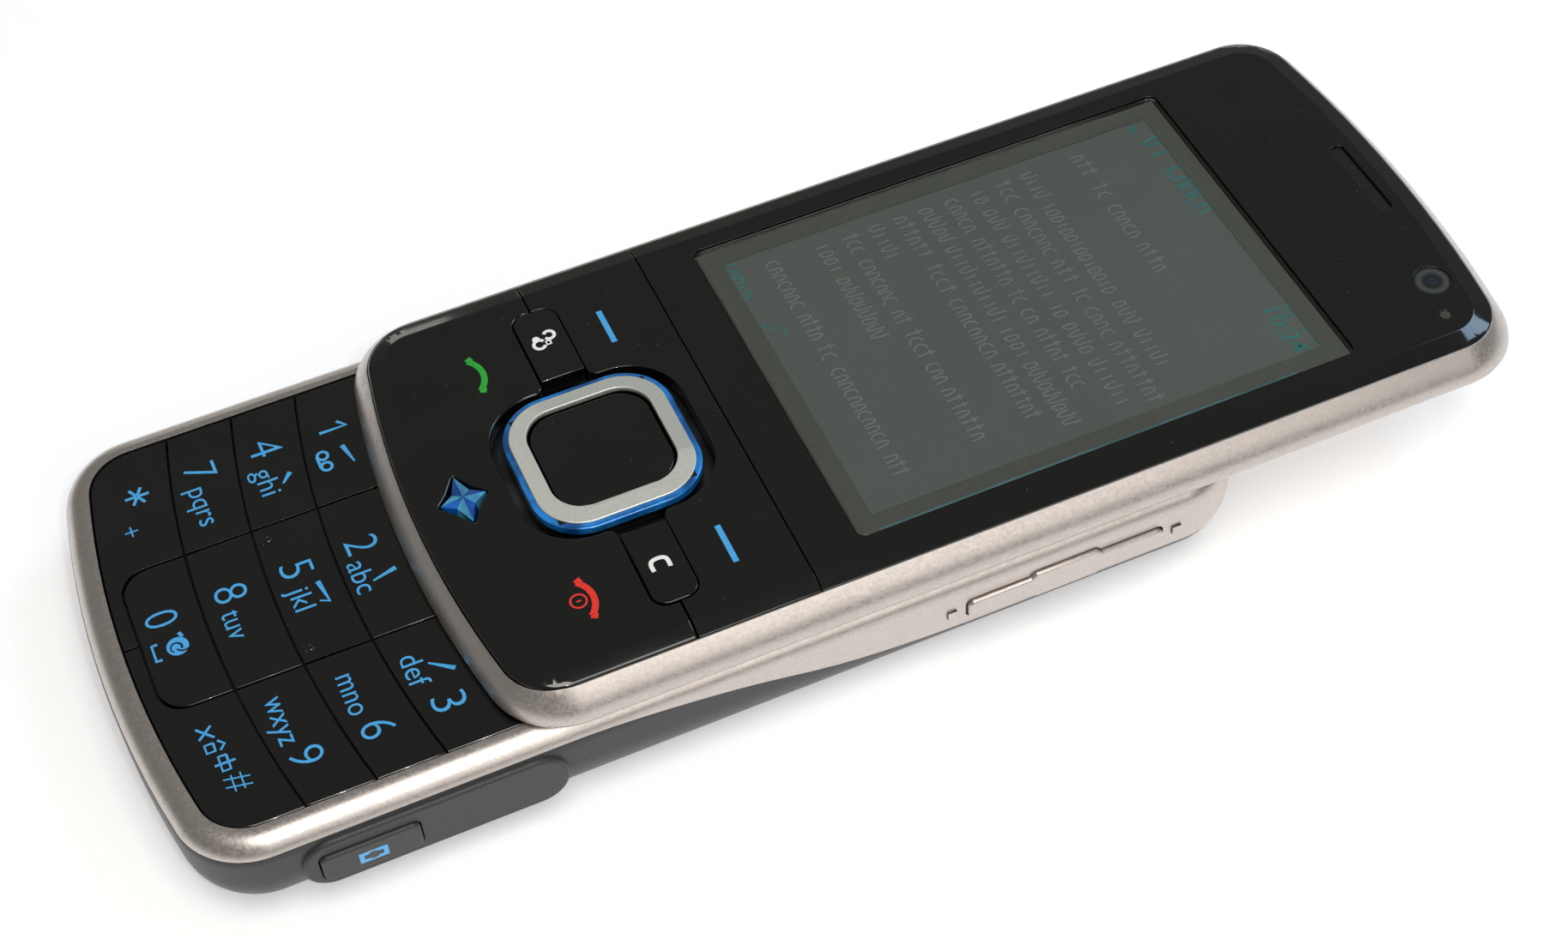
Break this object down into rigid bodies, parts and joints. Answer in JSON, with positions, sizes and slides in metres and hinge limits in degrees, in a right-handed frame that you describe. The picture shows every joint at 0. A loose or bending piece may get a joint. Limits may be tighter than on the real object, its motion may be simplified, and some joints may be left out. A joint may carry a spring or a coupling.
{
  "type": "slider phone",
  "caption": "Slider phone, slid open: black face with display, navigation ring and call keys over a bowed keypad in a silver frame, with side keys and a dark back.",
  "frame": {"origin": "on the flat back of the lower half, on the middle plane, half the closed length from the keypad end", "axes": "+X to the right side with the camera and volume keys, +Y towards the earpiece end, +Z out of the display; the phone lies on its back and is slid open"},
  "size_m": [0.0497, 0.131, 0.0155],
  "materials": {
    "silver_paint": "champagne metallic paint, satin",
    "dark_grey_shell": "dark grey soft-touch coat",
    "piano_black": "polished black",
    "key_black": "glossy black",
    "steel": "plain stamped steel",
    "circuit_board": "green solder mask",
    "dome_film": "black film over the domes",
    "battery_can": "wrapped cell",
    "gilt_contacts": "gilt",
    "black_inner_plastic": "moulded black",
    "clear_window": "clear, polished",
    "camera_black": "black barrel behind coated glass",
    "grey_display": "unlit grey display",
    "earpiece_mesh": "blackened fine mesh",
    "flex_film": "amber ribbon",
    "nav_silver": "satin plated",
    "nav_blue": "translucent blue, polished",
    "star_blue": "translucent blue, polished"
  },
  "bodies": {
    "lower_half": {"back_housing": "dark_grey_shell", "base_frame": "silver_paint", "fixed_rail_plate": "steel", "main_board": "circuit_board", "key_dome_sheet": "dome_film", "shield_can": "steel", "battery": "battery_can", "battery_contacts": "gilt_contacts", "card_holder": "black_inner_plastic", "charger_socket": "black_inner_plastic", "data_socket": "black_inner_plastic", "headset_socket": "black_inner_plastic", "microphone": "black_inner_plastic", "rear_camera_window": "clear_window", "rear_camera": "camera_black", "flash_lamp": "clear_window", "loudspeaker": "black_inner_plastic", "vibration_motor": "steel", "antenna": "gilt_contacts", "side_key_strip": "dome_film", "case_screws": "steel", "slide_spring": "steel", "flex_cable": "flex_film"},
    "upper_half": {"slider_frame": "silver_paint", "front_plate": "piano_black", "display_window": "clear_window", "display_module": "grey_display", "upper_board": "circuit_board", "upper_dome_sheet": "dome_film", "moving_slide_plate": "steel", "slide_screws": "steel", "earpiece": "black_inner_plastic", "earpiece_mesh": "earpiece_mesh", "front_camera": "camera_black", "light_sensor": "camera_black"},
    "battery_cover": {"battery_cover": "dark_grey_shell"},
    "vibration_weight": {"vibration_weight": "steel"},
    "camera_key": {"camera_key": "dark_grey_shell"},
    "volume_rocker": {"volume_rocker": "silver_paint"},
    "key_star": {"key_star": "key_black"},
    "key_0": {"key_0": "key_black"},
    "key_hash": {"key_hash": "key_black"},
    "key_7": {"key_7": "key_black"},
    "key_8": {"key_8": "key_black"},
    "key_9": {"key_9": "key_black"},
    "key_4": {"key_4": "key_black"},
    "key_5": {"key_5": "key_black"},
    "key_6": {"key_6": "key_black"},
    "key_1": {"key_1": "key_black"},
    "key_2": {"key_2": "key_black"},
    "key_3": {"key_3": "key_black"},
    "soft_key_plate": {"soft_key_plate": "piano_black"},
    "call_end_plate": {"call_end_plate": "piano_black"},
    "menu_key": {"menu_key": "piano_black"},
    "clear_key": {"clear_key": "piano_black"},
    "centre_key": {"centre_key": "piano_black"},
    "star_key": {"star_key": "star_blue"},
    "nav_pad": {"nav_pad": "black_inner_plastic"},
    "nav_ring": {"nav_ring": "nav_silver", "nav_skirt": "nav_blue"}
  },
  "joints": [
    {"name": "main_slide", "type": "slide", "parent": "lower_half", "child": "upper_half", "axis": [0, 1, 0], "range_m": [-0.028, 0], "deforming": ["slide_spring", "flex_cable"]},
    {"name": "battery_cover_slide", "type": "slide", "parent": "lower_half", "child": "battery_cover", "axis": [0, -1, 0], "range_m": [0, 0.004]},
    {"name": "vibration_weight_spin", "type": "hinge", "parent": "lower_half", "child": "vibration_weight", "pos_m": [0.015, 0.0267, 0.0049], "axis": [0, 1, 0], "continuous": true},
    {"name": "camera_key_press", "type": "slide", "parent": "lower_half", "child": "camera_key", "axis": [-1, 0, 0], "range_m": [0, 0.0003], "stiffness_N_per_m": 1500, "springref_m": -0.0005},
    {"name": "volume_rocker_rock", "type": "hinge", "parent": "lower_half", "child": "volume_rocker", "pos_m": [0.02255, 0.02975, 0.0069], "axis": [0, 0, 1], "range_deg": [-1.5, 1.5], "stiffness_Nm_per_rad": 0.5},
    {"name": "key_star_press", "type": "slide", "parent": "lower_half", "child": "key_star", "axis": [0, 0, -1], "range_m": [0, 0.00025], "stiffness_N_per_m": 1500, "springref_m": -0.0005},
    {"name": "key_0_press", "type": "slide", "parent": "lower_half", "child": "key_0", "axis": [0, 0, -1], "range_m": [0, 0.00025], "stiffness_N_per_m": 1500, "springref_m": -0.0005},
    {"name": "key_hash_press", "type": "slide", "parent": "lower_half", "child": "key_hash", "axis": [0, 0, -1], "range_m": [0, 0.00025], "stiffness_N_per_m": 1500, "springref_m": -0.0005},
    {"name": "key_7_press", "type": "slide", "parent": "lower_half", "child": "key_7", "axis": [0, 0, -1], "range_m": [0, 0.00025], "stiffness_N_per_m": 1500, "springref_m": -0.0005},
    {"name": "key_8_press", "type": "slide", "parent": "lower_half", "child": "key_8", "axis": [0, 0, -1], "range_m": [0, 0.00025], "stiffness_N_per_m": 1500, "springref_m": -0.0005},
    {"name": "key_9_press", "type": "slide", "parent": "lower_half", "child": "key_9", "axis": [0, 0, -1], "range_m": [0, 0.00025], "stiffness_N_per_m": 1500, "springref_m": -0.0005},
    {"name": "key_4_press", "type": "slide", "parent": "lower_half", "child": "key_4", "axis": [0, 0, -1], "range_m": [0, 0.00025], "stiffness_N_per_m": 1500, "springref_m": -0.0005},
    {"name": "key_5_press", "type": "slide", "parent": "lower_half", "child": "key_5", "axis": [0, 0, -1], "range_m": [0, 0.00025], "stiffness_N_per_m": 1500, "springref_m": -0.0005},
    {"name": "key_6_press", "type": "slide", "parent": "lower_half", "child": "key_6", "axis": [0, 0, -1], "range_m": [0, 0.00025], "stiffness_N_per_m": 1500, "springref_m": -0.0005},
    {"name": "key_1_press", "type": "slide", "parent": "lower_half", "child": "key_1", "axis": [0, 0, -1], "range_m": [0, 0.00025], "stiffness_N_per_m": 1500, "springref_m": -0.0005},
    {"name": "key_2_press", "type": "slide", "parent": "lower_half", "child": "key_2", "axis": [0, 0, -1], "range_m": [0, 0.00025], "stiffness_N_per_m": 1500, "springref_m": -0.0005},
    {"name": "key_3_press", "type": "slide", "parent": "lower_half", "child": "key_3", "axis": [0, 0, -1], "range_m": [0, 0.00025], "stiffness_N_per_m": 1500, "springref_m": -0.0005},
    {"name": "menu_key_press", "type": "slide", "parent": "upper_half", "child": "menu_key", "axis": [0, 0, -1], "range_m": [0, 0.00025], "stiffness_N_per_m": 1500, "springref_m": -0.0005},
    {"name": "clear_key_press", "type": "slide", "parent": "upper_half", "child": "clear_key", "axis": [0, 0, -1], "range_m": [0, 0.00025], "stiffness_N_per_m": 1500, "springref_m": -0.0005},
    {"name": "centre_key_press", "type": "slide", "parent": "upper_half", "child": "centre_key", "axis": [0, 0, -1], "range_m": [0, 0.00025], "stiffness_N_per_m": 1500, "springref_m": -0.0005},
    {"name": "star_key_press", "type": "slide", "parent": "upper_half", "child": "star_key", "axis": [0, 0, -1], "range_m": [0, 0.00025], "stiffness_N_per_m": 1500, "springref_m": -0.0005},
    {"name": "soft_key_plate_rock", "type": "hinge", "parent": "upper_half", "child": "soft_key_plate", "pos_m": [0, 0.0016, 0.0133], "axis": [0, 1, 0], "range_deg": [-0.7, 0.7], "stiffness_Nm_per_rad": 0.5},
    {"name": "call_end_plate_rock", "type": "hinge", "parent": "upper_half", "child": "call_end_plate", "pos_m": [0, -0.0117, 0.0133], "axis": [0, 1, 0], "range_deg": [-0.7, 0.7], "stiffness_Nm_per_rad": 0.5},
    {"name": "nav_up_down_rock", "type": "hinge", "parent": "upper_half", "child": "nav_pad", "pos_m": [0, -0.0041, 0.01319], "axis": [1, 0, 0], "range_deg": [-1.2, 1.2], "stiffness_Nm_per_rad": 0.2},
    {"name": "nav_side_rock", "type": "hinge", "parent": "nav_pad", "child": "nav_ring", "pos_m": [0, -0.0041, 0.0133], "axis": [0, 1, 0], "range_deg": [-1.2, 1.2], "stiffness_Nm_per_rad": 0.2}
  ]
}
